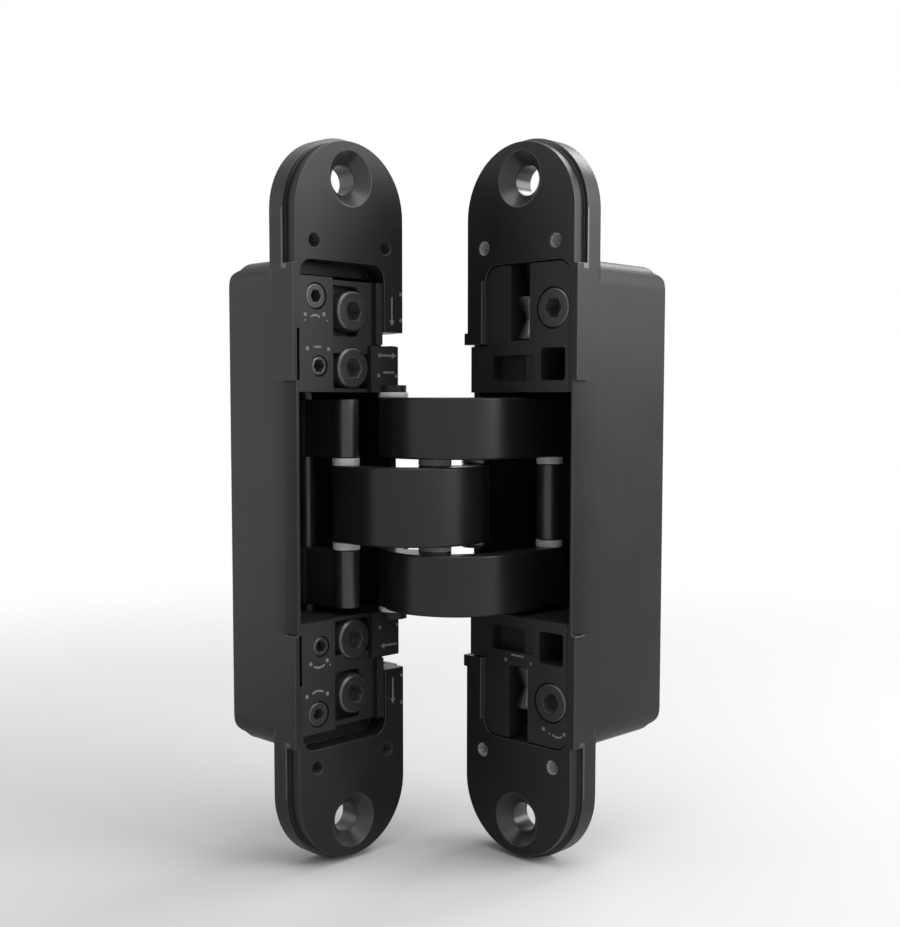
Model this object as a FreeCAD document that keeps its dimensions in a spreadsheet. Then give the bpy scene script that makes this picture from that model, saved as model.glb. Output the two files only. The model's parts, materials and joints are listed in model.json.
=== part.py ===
import FreeCAD, Part
import math
import os

import Sketcher

# A concealed door hinge with three adjusting directions, open at a right angle.
# The frame half stands still. The backs of its plate's ears lie in the plane Y = 0,
# its front faces -Y, X runs across it towards the arms and Z is up from mid height.
# Each half has its own axes: u across the plate, w into the housing from the plate's
# face, z up. The arms are drawn in the frame half's axes.

Vector = FreeCAD.Vector
doc = FreeCAD.newDocument("ConcealedHinge")
sheet = doc.addObject("Spreadsheet::Sheet", "Sizes")
rows = []
pieces = []

# How close a measured length comes to the size it is looked up by
SLACK = 0.01


class Size:
    """A length in millimetres that carries its formula as well as its value."""

    def __init__(self, value, formula):
        self.value = value
        self.formula = formula

    def __add__(self, other):
        other = as_size(other)
        return Size(self.value + other.value, f"({self.formula} + {other.formula})")

    def __radd__(self, other):
        return as_size(other) + self

    def __sub__(self, other):
        other = as_size(other)
        return Size(self.value - other.value, f"({self.formula} - {other.formula})")

    def __rsub__(self, other):
        return as_size(other) - self

    def __mul__(self, other):
        other = as_size(other)
        return Size(self.value * other.value, f"({self.formula} * {other.formula})")

    def __rmul__(self, other):
        return as_size(other) * self

    def __truediv__(self, other):
        other = as_size(other)
        return Size(self.value / other.value, f"({self.formula} / {other.formula})")

    def __neg__(self):
        return Size(-self.value, f"(0 - {self.formula})")


def as_size(number):
    """Give a plain number the same form as a size."""
    if isinstance(number, Size):
        return number
    return Size(float(number), f"({float(number)!r})")


def root(size):
    """Square root of a size."""
    return Size(math.sqrt(size.value), f"sqrt({size.formula})")


def size(name, value, note):
    """Write one driving dimension into the sheet and return it."""
    row = len(rows) + 1
    rows.append(name)
    sheet.set(f"A{row}", note)
    sheet.set(f"B{row}", str(value))
    sheet.setAlias(f"B{row}", name)
    return Size(float(value), f"Sizes.{name}")


def bind(thing, path, length):
    """Tie one property of an object to a formula on the sheet."""
    thing.setExpression(path, as_size(length).formula)


# Plates and housings
plate_height = size("plate_height", 156.0, "overall height of each plate")
plate_width = size("plate_width", 32.0, "width of each plate")
plate_thickness = size("plate_thickness", 7.5, "thickness of the plate's ears")
ledge_inset = size("ledge_inset", 0.95, "step round the ears for the cover caps, sideways")
ledge_depth = size("ledge_depth", 3.1, "step round the ears for the cover caps, inwards")
box_height = size("box_height", 101.4, "height of the housing behind the plate")
frame_depth = size("frame_depth", 22.3, "depth of the frame half")
door_depth = size("door_depth", 31.4, "depth of the door half")
wall = size("wall", 1.6, "side wall of the housings")
back_wall = size("back_wall", 1.5, "back wall of the housings")
box_corner = size("box_corner", 0.8, "rounding of the housing's upright rear edges")
rear_round = size("rear_round", 4.0, "rounding of its rear edges at the two ends")
recess_height = size("recess_height", 103.4, "height of the shallow recess in the plate")
recess_depth = size("recess_depth", 5.0, "depth of the shallow recess in the plate")
outer_rim = size("outer_rim", 2.0, "rim of the plate outside the recess")
inner_rim = size("inner_rim", 6.5, "rim of the plate on the arms' side")
recess_corner = size("recess_corner", 3.2, "rounding of the recess's corners")
rim_relief = size("rim_relief", 3.2, "depth to which the arms' side of the plate is open")
frame_relief = size("frame_relief", 37.4, "half height of that open part, frame half")
door_relief = size("door_relief", 34.8, "half height of that open part, door half")
notch_low = size("notch_low", 34.7, "near end of the notch through the frame half's side")
notch_deep = size("notch_deep", 8.0, "depth of that notch")
shoulder_low = size("shoulder_low", 26.6, "near end of the full-width shoulder, from mid height")
groove_width = size("groove_width", 0.85, "width of the groove beside the frame recess")
tab_reach = size("tab_reach", 0.5, "how far the door half's tab reaches past the rim")
recess_bevel = size("recess_bevel", 1.3, "bevel of the door recess on the arms' side")
screw_inset = size("screw_inset", 8.7, "fixing screw's distance from the plate's end")
screw_hole = size("screw_hole", 6.5, "diameter of the fixing screw's hole")
screw_sink = size("screw_sink", 11.7, "diameter of its countersink")
clip_gap = size("clip_gap", 3.9, "clip hole's distance from the recess's end")
clip_inset = size("clip_inset", 5.95, "clip hole's distance from the plate's edge")
clip_hole = size("clip_hole", 3.0, "diameter of the clip hole")
clip_depth = size("clip_depth", 4.0, "depth of the clip hole")

# Linkage: two equal parallelograms that share the centre pin
pivot_inset = size("pivot_inset", 3.8, "fixed pivot's distance from the plate's inner edge")
closing_gap = size("closing_gap", 4.0, "gap between the plates when the hinge is closed")
crank_reach = size("crank_reach", 11.0, "offset of the centre pin from a fixed pivot")
frame_link_side = size("frame_link_side", 12.3, "link pins, outwards of the fixed pivots")
frame_link_deep = size("frame_link_deep", 15.2, "frame link pin, depth below the face")
door_link_deep = size("door_link_deep", 24.0, "door link pin, depth below the face")

# Heights of the arms, from mid height
middle_half = size("middle_half", 8.4, "half height of the middle arm")
fork_low = size("fork_low", 10.1, "fork arm, side next to the middle arm")
fork_high = size("fork_high", 23.15, "fork arm, side next to the carrier")
link_high = size("link_high", 22.8, "frame link, side next to the carrier")
carrier_low = size("carrier_low", 24.3, "carrier, side next to the arms")
washer_play = size("washer_play", 0.1, "play of a washer between two arms")
end_play = size("end_play", 0.05, "play of an outer washer")

# Arms
arc_across = size("arc_across", 0.7, "centre of the arm's arc, across from the centre pin")
arc_deep = size("arc_deep", 7.0, "centre of the arm's arc, inwards from the centre pin")
arc_outer = size("arc_outer", 16.0, "outer radius of the arm's arc")
arc_inner = size("arc_inner", 11.7, "inner radius of the arm's arc")
fixed_eye = size("fixed_eye", 3.3, "radius of the arm's eye at its fixed pivot")
centre_eye = size("centre_eye", 3.6, "radius of the arm's eye at the centre pin")
sliding_eye = size("sliding_eye", 3.0, "radius of the arm's eye at the link")
web_half = size("web_half", 6.4, "half width of the web at the arc")
link_eye = size("link_eye", 2.9, "radius of a link's ends")
link_waist = size("link_waist", 2.3, "half width of a link between its ends")
pin_radius = size("pin_radius", 1.9, "radius of the pivot pins")
stub_radius = size("stub_radius", 1.7, "radius of the frame half's stub pins")
pin_play = size("pin_play", 0.04, "running clearance of a pin in an eye")
open_play = size("open_play", 0.1, "clearance of an open pivot's pin")
arm_round = size("arm_round", 0.5, "rounding of the arms' long edges")

# Carriers and their screws
carrier_gap = size("carrier_gap", 0.3, "gap between a carrier and its housing")
frame_face = size("frame_face", 0.4, "frame carrier's face below the plate's face")
door_face = size("door_face", 0.3, "door carrier's face below the plate's face")
block_face = size("block_face", 0.5, "face of the frame carrier's block")
carrier_top = size("carrier_top", 48.0, "frame carrier's far end from mid height")
door_lip = size("door_lip", 51.4, "door carrier's far end from mid height")
block_top = size("block_top", 34.4, "end of the carrier's block from mid height")
block_inset = size("block_inset", 1.9, "edge of the carrier's block from the plate's edge")
lug_radius = size("lug_radius", 2.9, "radius of the carrier's pivot lug")
lug_height = size("lug_height", 1.6, "height of the carrier's pivot lug")
stub_bite = size("stub_bite", 1.0, "how far a stub pin enters that lug")
link_pin_bite = size("link_pin_bite", 2.0, "how far a link's pin enters a carrier")
side_gap = size("side_gap", 0.12, "gap between a carrier's face and the recess edge")
floor_face = size("floor_face", 1.6, "floor between the frame carrier's raised parts")
step_up = size("step_up", 0.3, "height of a small step between two raised parts")
column_width = size("column_width", 9.2, "width of the outer column, from the recess edge")
strip_width = size("strip_width", 2.0, "width of the strip on the arms' side")
block_play = size("block_play", 0.2, "gap between a near clamp screw's head and the block")
far_slot_low = size("far_slot_low", 36.2, "far clamp slot, near end")
far_slot_high = size("far_slot_high", 46.9, "far clamp slot, far end")
far_slot_right = size("far_slot_right", 3.2, "far clamp slot, edge on the arms' side")
slot_corner = size("slot_corner", 0.9, "rounding of the clamp slot's corners")
near_slot_low = size("near_slot_low", 25.1, "near clamp slot, near end")
near_slot_high = size("near_slot_high", 32.6, "near clamp slot, far end")
slot_floor = size("slot_floor", 4.2, "floor of the clamp slots below the plate's face")
clamp_side = size("clamp_side", 1.5, "clamp screws, from the centre line")
clamp_near = size("clamp_near", 29.5, "near clamp screw from mid height")
clamp_far = size("clamp_far", 41.6, "far clamp screw from mid height")
clamp_head = size("clamp_head", 4.4, "radius of a clamp screw's head")
clamp_shank = size("clamp_shank", 2.4, "radius of a clamp screw's shank")
clamp_seat = size("clamp_seat", 5.8, "depth of the seat under a clamp screw's head")
clamp_top = size("clamp_top", 1.0, "depth of a clamp screw's top")
clamp_socket = size("clamp_socket", 4.0, "width across flats of its socket")
thread_bite = size("thread_bite", 1.0, "how far a clamp screw enters the back wall")
fit_gap = size("fit_gap", 0.1, "gap round a screw in its hole")
side_screw_inset = size("side_screw_inset", 4.6, "side adjusting screw, from the recess's outer edge")
side_screw_up = size("side_screw_up", 44.2, "side adjusting screw from mid height")
side_screw_head = size("side_screw_head", 2.8, "radius of the side adjusting screw")
depth_screw_inset = size("depth_screw_inset", 5.4, "depth adjusting screw, from the recess's outer edge")
depth_screw_up = size("depth_screw_up", 29.7, "depth adjusting screw from mid height")
depth_screw_head = size("depth_screw_head", 2.2, "radius of the depth adjusting screw")
small_length = size("small_length", 12.0, "length of the small adjusting screws")
small_socket = size("small_socket", 2.5, "width across flats of their sockets")
socket_share = size("socket_share", 0.6, "depth of a socket as a share of the head")
screw_chamfer = size("screw_chamfer", 0.4, "chamfer round a screw's head")
flush_inset = size("flush_inset", 4.8, "door clamp screw, from the recess's outer edge")
flush_up = size("flush_up", 41.8, "door clamp screw from mid height")
flush_head = size("flush_head", 4.3, "radius of the door clamp screw's head")
spool_deep = size("spool_deep", 3.4, "axis of the height cam below the plate's face")
spool_low = size("spool_low", 35.6, "height cam, near end from mid height")
spool_high = size("spool_high", 44.6, "height cam, far end from mid height")
spool_end = size("spool_end", 2.5, "radius of the height cam's ends")
spool_waist = size("spool_waist", 0.9, "radius of its waist")
spool_rim = size("spool_rim", 0.6, "height of its rims")
slot_left = size("slot_left", -2.9, "cam slot's outer edge")
slot_right = size("slot_right", 2.4, "cam slot's edge on the arms' side")
slot_low = size("slot_low", 35.3, "cam slot's near end from mid height")
slot_deep = size("slot_deep", 6.2, "depth of the cam slot")
window_corner = size("window_corner", 0.7, "rounding of the windows' corners")
window_step = size("window_step", -1.4, "step in the shallow window")
window_shelf = size("window_shelf", 1.0, "depth of the window's shelf")
window_low = size("window_low", 26.7, "door carrier windows, near end")
window_high = size("window_high", 32.2, "shallow window, far end")
window_left = size("window_left", -4.4, "shallow window, outer edge")
window_inset = size("window_inset", 1.9, "shallow window, from the recess edge")
window_deep = size("window_deep", 3.0, "shallow window, depth")
hollow_high = size("hollow_high", 33.6, "deep window, far end")
hollow_right = size("hollow_right", -6.1, "deep window, inner edge")
hollow_inset = size("hollow_inset", 1.4, "deep window, from the recess's outer edge")
hollow_deep = size("hollow_deep", 10.0, "deep window, depth")
cheek_low = size("cheek_low", 8.55, "door pivot cheek, side next to the middle arm")
cheek_high = size("cheek_high", 9.95, "door pivot cheek, far side")
cheek_deep = size("cheek_deep", 8.0, "depth of the door pivot cheek's foot")

# Places that follow from these sizes
half_width = plate_width / 2
half_height = plate_height / 2
box_half = box_height / 2
inner_half = half_width - wall
end_inside = box_half - wall
pivot_u = half_width - pivot_inset
recess_side = half_width - outer_rim
recess_inner = half_width - inner_rim
groove_side = recess_side + groove_width
tab_side = recess_inner - tab_reach
screw_place = half_height - screw_inset
clip_place = recess_height / 2 + clip_gap
clip_side = half_width - clip_inset
block_edge = half_width - block_inset
pocket_left = column_width - recess_side
strip_left = recess_inner - strip_width
block_left = clamp_side + clamp_head + block_play
side_screw_side = recess_side - side_screw_inset
depth_screw_side = recess_side - depth_screw_inset
flush_side = recess_side - flush_inset
window_right = recess_inner - window_inset
hollow_left = hollow_inset - recess_side
crank_side = closing_gap / 2
half_offset = pivot_u + crank_side + crank_reach
centre_pin_x = pivot_u + crank_side
centre_pin_y = -crank_reach
frame_link_u = pivot_u - frame_link_side
slide_u = frame_link_u + crank_side
frame_slide_w = frame_link_deep - crank_reach
door_slide_w = door_link_deep - crank_reach


def line_to(across, along):
    """Next corner of an outline, reached by a straight edge."""
    return ("line", as_size(across), as_size(along), None, False)


def arc_to(across, along, radius, left=True):
    """Next corner of an outline, reached by an arc that turns left or right."""
    return ("arc", as_size(across), as_size(along), as_size(radius), left)


def rectangle(left, right, low, high):
    """Corners of an upright rectangle."""
    return [line_to(right, low), line_to(right, high), line_to(left, high), line_to(left, low)]


def rounded(left, right, low, high, radius):
    """Corners of an upright rectangle with round corners."""
    left, right, low, high = (as_size(edge) for edge in (left, right, low, high))
    return [
        line_to(right - radius, low),
        arc_to(right, low + radius, radius),
        line_to(right, high - radius),
        arc_to(right - radius, high, radius),
        line_to(left + radius, high),
        arc_to(left, high - radius, radius),
        line_to(left, low + radius),
        arc_to(left + radius, low, radius),
    ]


def stadium(half_across, half_along):
    """Corners of an upright plate with half-round ends."""
    straight = half_along - half_across
    return [
        line_to(half_across, straight),
        arc_to(0, half_along, half_across),
        arc_to(-half_across, straight, half_across),
        line_to(-half_across, -straight),
        arc_to(0, -half_along, half_across),
        arc_to(half_across, -straight, half_across),
    ]


def hexagon(across, along, flats):
    """Corners of a hexagon round a place, with two level flats."""
    side = flats / math.sqrt(3.0)
    half = flats / 2
    return [
        line_to(across + side, along),
        line_to(across + side / 2, along + half),
        line_to(across - side / 2, along + half),
        line_to(across - side, along),
        line_to(across - side / 2, along - half),
        line_to(across + side / 2, along - half),
    ]


def arc_edge(start, end, radius, left):
    """Arc under half a turn between two points, as sketch geometry."""
    middle = (start + end) * 0.5
    chord = end - start
    rise = math.sqrt(max(radius * radius - chord.Length * chord.Length / 4.0, 0.0))
    normal = Vector(-chord.y, chord.x, 0)
    normal.normalize()
    centre = middle + normal * rise if left else middle - normal * rise
    first = math.atan2(start.y - centre.y, start.x - centre.x)
    last = math.atan2(end.y - centre.y, end.x - centre.x)
    circle = Part.Circle(centre, Vector(0, 0, 1), radius)
    if left:
        return Part.ArcOfCircle(circle, first, last)
    return Part.ArcOfCircle(circle, last, first)


class Piece:
    """One solid of the hinge, made of pads and cuts in its own half's axes."""

    def __init__(self, name, in_door=False):
        self.body = doc.addObject("PartDesign::Body", name)
        self.body.Label = name
        self.count = 0
        if in_door:
            turn = FreeCAD.Rotation(Vector(1, 1, 0), 180)
            self.body.Placement = FreeCAD.Placement(Vector(0, 0, 0), turn)
            bind(self.body, "Placement.Base.x", half_offset)
            bind(self.body, "Placement.Base.y", -half_offset - plate_thickness)
        else:
            bind(self.body, "Placement.Base.y", -plate_thickness)
        pieces.append(self.body)

    def sketch(self, role, offset):
        """Empty sketch on one of the piece's own planes, moved along its normal."""
        self.count += 1
        plane = [p for p in self.body.Origin.OriginFeatures if p.Role == role][0]
        made = self.body.newObject("Sketcher::SketchObject", f"{self.body.Name}_s{self.count}")
        made.AttachmentSupport = [(plane, "")]
        made.MapMode = "FlatFace"
        bind(made, "AttachmentOffset.Base.z", offset)
        return made

    def outline(self, role, offset, steps):
        """Sketch of one closed outline, every corner tied to the sheet."""
        made = self.sketch(role, offset)
        corners = [Vector(step[1].value, step[2].value, 0) for step in steps]
        total = len(steps)
        ends = []
        for index, step in enumerate(steps):
            start = corners[index - 1]
            end = corners[index]
            if step[0] == "line":
                edge = made.addGeometry(Part.LineSegment(start, end), False)
                ends.append((edge, 1, 2))
                continue
            edge = made.addGeometry(arc_edge(start, end, step[3].value, step[4]), False)
            ends.append((edge, 1, 2) if step[4] else (edge, 2, 1))
        for index in range(total):
            edge, _, last = ends[index]
            follower, first, _ = ends[(index + 1) % total]
            made.addConstraint(Sketcher.Constraint("Coincident", edge, last, follower, first))
        for index, step in enumerate(steps):
            edge, _, last = ends[index]
            self.tie(made, "DistanceX", edge, last, step[1])
            self.tie(made, "DistanceY", edge, last, step[2])
            if step[0] == "arc":
                radius = Sketcher.Constraint("Radius", edge, step[3].value)
                bind(made, f"Constraints[{made.addConstraint(radius)}]", step[3])
        return made

    def circle(self, role, offset, across, along, radius):
        """Sketch of one circle, tied to the sheet."""
        made = self.sketch(role, offset)
        across, along, radius = as_size(across), as_size(along), as_size(radius)
        centre = Vector(across.value, along.value, 0)
        edge = made.addGeometry(Part.Circle(centre, Vector(0, 0, 1), radius.value), False)
        self.tie(made, "DistanceX", edge, 3, across)
        self.tie(made, "DistanceY", edge, 3, along)
        number = made.addConstraint(Sketcher.Constraint("Radius", edge, radius.value))
        bind(made, f"Constraints[{number}]", radius)
        return made

    @staticmethod
    def tie(made, kind, edge, point, length):
        """Hold one point of a sketch at a distance from its origin."""
        constraint = Sketcher.Constraint(kind, -1, 1, edge, point, length.value)
        bind(made, f"Constraints[{made.addConstraint(constraint)}]", length)

    def feature(self, kind, drawing, length, backwards, note):
        """Pad or pocket of one sketch, checked to have changed the solid."""
        before = self.body.Shape.Volume if self.body.Tip else 0.0
        made = self.body.newObject(f"PartDesign::{kind}", f"{self.body.Name}_{kind}_{self.count}")
        made.Profile = drawing
        bind(made, "Length", length)
        made.Reversed = backwards
        self.body.Tip = made
        doc.recompute([self.body], True)
        after = self.body.Shape.Volume
        grows = kind == "Pad"
        if (after - before <= 0.0) if grows else (before - after <= 0.0):
            raise RuntimeError(f"{self.body.Label}: {note} changed nothing")
        return made

    def pad_up(self, steps, low, high, note="plan pad"):
        """Add a plan outline between two heights."""
        low, high = as_size(low), as_size(high)
        return self.feature("Pad", self.outline("XY_Plane", low, steps), high - low, False, note)

    def cut_up(self, steps, low, high, note="plan cut"):
        """Remove a plan outline between two heights."""
        low, high = as_size(low), as_size(high)
        return self.feature("Pocket", self.outline("XY_Plane", low, steps), high - low, True, note)

    def rod_up(self, across, along, radius, low, high):
        """Add an upright round rod between two heights."""
        low, high = as_size(low), as_size(high)
        drawing = self.circle("XY_Plane", low, across, along, radius)
        return self.feature("Pad", drawing, high - low, False, "rod")

    def bore_up(self, across, along, radius, low, high):
        """Remove an upright round hole between two heights."""
        low, high = as_size(low), as_size(high)
        drawing = self.circle("XY_Plane", low, across, along, radius)
        return self.feature("Pocket", drawing, high - low, True, "bore")

    def pad_in(self, steps, near, far, note="front pad"):
        """Add a front outline between two depths."""
        near, far = as_size(near), as_size(far)
        return self.feature("Pad", self.outline("XZ_Plane", -near, steps), far - near, True, note)

    def cut_in(self, steps, near, far, note="front cut"):
        """Remove a front outline between two depths."""
        near, far = as_size(near), as_size(far)
        drawing = self.outline("XZ_Plane", -near, steps)
        return self.feature("Pocket", drawing, far - near, False, note)

    def cut_across(self, steps, left, right, note="side cut"):
        """Remove a side outline between two places across the plate."""
        left, right = as_size(left), as_size(right)
        drawing = self.outline("YZ_Plane", left, steps)
        return self.feature("Pocket", drawing, right - left, True, note)

    def rod_in(self, across, up, radius, near, far):
        """Add a round rod that points into the housing."""
        near, far = as_size(near), as_size(far)
        drawing = self.circle("XZ_Plane", -near, across, up, radius)
        return self.feature("Pad", drawing, far - near, True, "rod")

    def bore_in(self, across, up, radius, near, far):
        """Remove a round hole that points into the housing."""
        near, far = as_size(near), as_size(far)
        drawing = self.circle("XZ_Plane", -near, across, up, radius)
        return self.feature("Pocket", drawing, far - near, False, "bore")

    def revolve(self, drawing):
        """Turn an outline a full turn about its last edge."""
        made = self.body.newObject("PartDesign::Revolution", f"{self.body.Name}_turned")
        made.Profile = drawing
        last = len(drawing.Geometry)
        made.ReferenceAxis = (drawing, [f"Edge{last}"])
        made.Angle = 360.0
        self.body.Tip = made
        doc.recompute([self.body], True)
        return made

    def soften(self, kind, length, wanted, note):
        """Fillet or chamfer the edges that a test picks out."""
        base = self.body.Tip
        names = [f"Edge{n + 1}" for n, edge in enumerate(base.Shape.Edges) if wanted(edge)]
        if not names:
            raise RuntimeError(f"{self.body.Label}: no edge for {note}")
        made = self.body.newObject(f"PartDesign::{kind}", f"{self.body.Name}_{note}")
        made.Base = (base, names)
        bind(made, "Radius" if kind == "Fillet" else "Size", length)
        self.body.Tip = made
        doc.recompute([self.body], True)
        return made


def between(side, near, far):
    """Lower and upper height of a piece that is near to or far from mid height."""
    near, far = as_size(near), as_size(far)
    return (near, far) if side > 0 else (-far, -near)


def housing(name, depth, in_door):
    """Zinc casting of one half: plate with two ears, and the box behind it."""
    made = Piece(name, in_door)
    made.pad_in(stadium(half_width, half_height), ledge_depth, plate_thickness, "ears")
    made.pad_in(stadium(half_width - ledge_inset, half_height - ledge_inset), 0, ledge_depth, "face")
    for side in (1, -1):
        low, high = between(side, shoulder_low, box_half)
        made.pad_in(rectangle(-half_width, 0, low, high), 0, ledge_depth, "shoulder")
        if in_door:
            low, high = between(side, door_relief, frame_relief)
            made.pad_in(rectangle(tab_side, half_width, low, high), 0, ledge_depth, "tab")
    plan = [
        line_to(half_width, plate_thickness / 2),
        line_to(half_width, depth - box_corner),
        arc_to(half_width - box_corner, depth, box_corner),
        line_to(-half_width + box_corner, depth),
        arc_to(-half_width, depth - box_corner, box_corner),
        line_to(-half_width, plate_thickness / 2),
    ]
    made.pad_up(plan, -box_half, box_half, "box")
    round_rear_end(made, depth, box_half, 1)
    round_rear_end(made, depth, -box_half, -1)
    half_recess = recess_height / 2
    steps = rounded(-recess_side, recess_inner, -half_recess, half_recess, recess_corner)
    made.cut_in(steps, 0, recess_depth, "recess")
    steps = rectangle(-inner_half, inner_half, -end_inside, end_inside)
    made.cut_in(steps, recess_depth, depth - back_wall, "cavity")
    relief_half = door_relief if in_door else frame_relief
    steps = rectangle(recess_inner - wall, half_width + wall, -relief_half, relief_half)
    made.cut_in(steps, 0, rim_relief, "relief")
    steps = rectangle(recess_inner - wall, inner_half, -relief_half, relief_half)
    made.cut_in(steps, rim_relief, recess_depth, "relief step")
    if in_door:
        bevel_recess(made)
    steps = rectangle(-inner_half, 0, -carrier_low, carrier_low)
    made.cut_in(steps, 0, recess_depth, "window for the arms")
    for side in (1, -1):
        fixing_holes(made, side)
    return made


def round_rear_end(made, depth, end, side):
    """Round the rear edge at one end of the box."""
    steps = [
        line_to(depth - rear_round, end),
        arc_to(depth, end - side * rear_round, rear_round, side < 0),
        line_to(depth + wall, end - side * rear_round),
        line_to(depth + wall, end + side * wall),
        line_to(depth - rear_round, end + side * wall),
    ]
    made.cut_across(steps, -plate_width, plate_width, "rear rounding")


def bevel_recess(made):
    """Bevel along the recess's upright edges on the arms' side, above and below the arms."""
    for side in (1, -1):
        low, high = between(side, door_relief, recess_height / 2 - recess_corner)
        steps = [
            line_to(recess_inner + recess_bevel, 0),
            line_to(recess_inner - side_gap, recess_bevel + side_gap),
            line_to(recess_inner - side_gap, 0),
        ]
        made.cut_up(steps, low, high, "bevel")


def fixing_holes(made, side):
    """Countersunk screw hole and the two clip holes of one ear."""
    up = side * screw_place
    made.bore_in(0, up, screw_hole / 2, 0, plate_thickness)
    rim = [e for e in made.body.Tip.Shape.Edges
           if isinstance(e.Curve, Part.Circle)
           and abs(e.Curve.Radius - screw_hole.value / 2) < SLACK
           and abs(e.Curve.Center.y) < SLACK and abs(e.Curve.Center.z - up.value) < SLACK]
    if len(rim) != 1:
        raise RuntimeError("countersink edge not found")
    made.soften("Chamfer", (screw_sink - screw_hole) / 2, rim[0].isSame, f"sink_{made.count}")
    for across in (clip_side, -clip_side):
        made.bore_in(across, side * clip_place, clip_hole / 2, 0, clip_depth)


def frame_housing():
    """Housing of the half that is let into the door frame."""
    made = housing("frame_housing", frame_depth, False)
    for side in (1, -1):
        low, high = between(side, notch_low, frame_relief)
        steps = rectangle(recess_inner, half_width + wall, low, high)
        made.cut_in(steps, 0, notch_deep, "notch")
        low, high = between(side, shoulder_low, frame_relief)
        steps = rectangle(-groove_side, -recess_side + side_gap, low, high)
        made.cut_in(steps, 0, recess_depth, "groove")
    for side in (1, -1):
        for up in (clamp_near, clamp_far):
            made.bore_in(clamp_side, side * up, clamp_shank, frame_depth - back_wall,
                         frame_depth - back_wall + thread_bite)
    return made


def door_housing():
    """Housing of the half that is let into the door leaf."""
    made = housing("door_housing", door_depth, True)
    for side in (1, -1):
        made.bore_in(-flush_side, side * flush_up, clamp_shank, door_depth - back_wall,
                     door_depth - back_wall + thread_bite)
    return made


def carrier_block(made, side, face, depth, top):
    """Main block of a carrier between its pivot side and its far end."""
    low, high = between(side, carrier_low, top)
    left = -recess_side + carrier_gap
    right = recess_inner - carrier_gap
    made.pad_in(rectangle(left, right, low, high), face, depth - back_wall - carrier_gap, "block")


def frame_carrier(name, side):
    """Carrier in the frame half: it holds the pins and is clamped by two screws."""
    made = Piece(name)
    depth = frame_depth
    carrier_block(made, side, floor_face, depth, carrier_top)
    low, high = between(side, carrier_low, carrier_top + step_up)
    steps = rectangle(-recess_side + side_gap, pocket_left, low, high)
    made.pad_in(steps, frame_face, recess_depth - side_gap, "outer column")
    low, high = between(side, block_top + step_up, carrier_top)
    steps = rectangle(strip_left, recess_inner - side_gap, low, high)
    made.pad_in(steps, frame_face, recess_depth - side_gap, "strip on the arms' side")
    low, high = between(side, carrier_low, block_top)
    steps = rectangle(block_left, block_edge, low, high)
    made.pad_in(steps, block_face, depth - back_wall - carrier_gap, "arm side block")
    low, high = between(side, carrier_low, carrier_low + lug_height)
    made.rod_up(pivot_u, 0, lug_radius, low, high)
    low, high = between(side, far_slot_low, far_slot_high)
    steps = rounded(pocket_left, far_slot_right, low, high, slot_corner)
    made.cut_in(steps, frame_face, slot_floor, "far clamp slot")
    low, high = between(side, near_slot_low, near_slot_high)
    steps = rectangle(pocket_left, block_left, low, high)
    made.cut_in(steps, frame_face, slot_floor, "near clamp slot")
    for up in (clamp_near, clamp_far):
        made.bore_in(clamp_side, side * up, clamp_head + fit_gap, frame_face, clamp_seat)
        made.bore_in(clamp_side, side * up, clamp_shank + fit_gap, clamp_seat, depth)
    made.bore_in(-side_screw_side, side * side_screw_up, side_screw_head + end_play,
                 frame_face, frame_face + small_length)
    made.bore_in(-depth_screw_side, side * depth_screw_up, depth_screw_head + end_play,
                 frame_face, frame_face + small_length)
    low, high = between(side, carrier_low, carrier_low + stub_bite)
    made.bore_up(pivot_u, 0, stub_radius, low, high)
    low, high = between(side, carrier_low, carrier_low + link_pin_bite)
    made.bore_up(frame_link_u, frame_link_deep, pin_radius, low, high)
    return made


def door_carrier(name, side):
    """Carrier in the door half: its face fills the recess, with the cam slot."""
    made = Piece(name, True)
    depth = door_depth
    carrier_block(made, side, door_face, depth, end_inside - carrier_gap)
    low, high = between(side, end_inside - recess_corner * 2, door_lip)
    steps = rounded(-recess_side + side_gap, recess_inner - side_gap, low, high,
                    recess_corner)
    made.pad_in(steps, door_face, recess_depth - carrier_gap, "lip")
    low, high = between(side, carrier_low, block_top)
    steps = rectangle(recess_inner - wall, block_edge, low, high)
    made.pad_in(steps, door_face, depth - back_wall - carrier_gap, "arm side block")
    low, high = between(side, slot_low, door_lip + wall)
    made.cut_in(rectangle(slot_left, slot_right, low, high), door_face, slot_deep, "cam slot")
    made.bore_in(-flush_side, side * flush_up, flush_head + fit_gap, door_face, clamp_seat)
    made.bore_in(-flush_side, side * flush_up, clamp_shank + fit_gap, clamp_seat, depth)
    door_windows(made, side)
    low, high = between(side, carrier_low, carrier_low + link_pin_bite)
    made.bore_up(frame_link_u, door_link_deep, pin_radius, low, high)
    return made


def door_windows(made, side):
    """Shallow and deep core openings in the door carrier's face."""
    low, high = between(side, window_low, window_high)
    steps = rounded(window_left, window_right, low, high, window_corner)
    made.cut_in(steps, door_face, window_shelf, "window shelf")
    steps = rounded(window_step, window_right, low, high, window_corner)
    made.cut_in(steps, window_shelf, window_deep, "shallow window")
    low, high = between(side, window_low, hollow_high)
    steps = rounded(hollow_left, hollow_right, low, high, window_corner)
    made.cut_in(steps, door_face, hollow_deep, "deep window")


def socket_screw(name, across, up, head, shank, near, seat, far, flats, in_door=False):
    """Cap screw with a hexagon socket, pointing into the housing."""
    made = Piece(name, in_door)
    made.rod_in(across, up, head, near, seat)
    if shank is not None:
        made.rod_in(across, up, shank, seat, far)
    made.cut_in(hexagon(across, up, flats), near, near + (seat - near) * socket_share, "socket")
    front = [e for e in made.body.Tip.Shape.Edges if isinstance(e.Curve, Part.Circle)
             and abs(e.Curve.Radius - head.value) < SLACK
             and abs(e.Curve.Center.y - near.value) < SLACK]
    made.soften("Chamfer", screw_chamfer, front[0].isSame, "rim")
    return made


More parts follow.
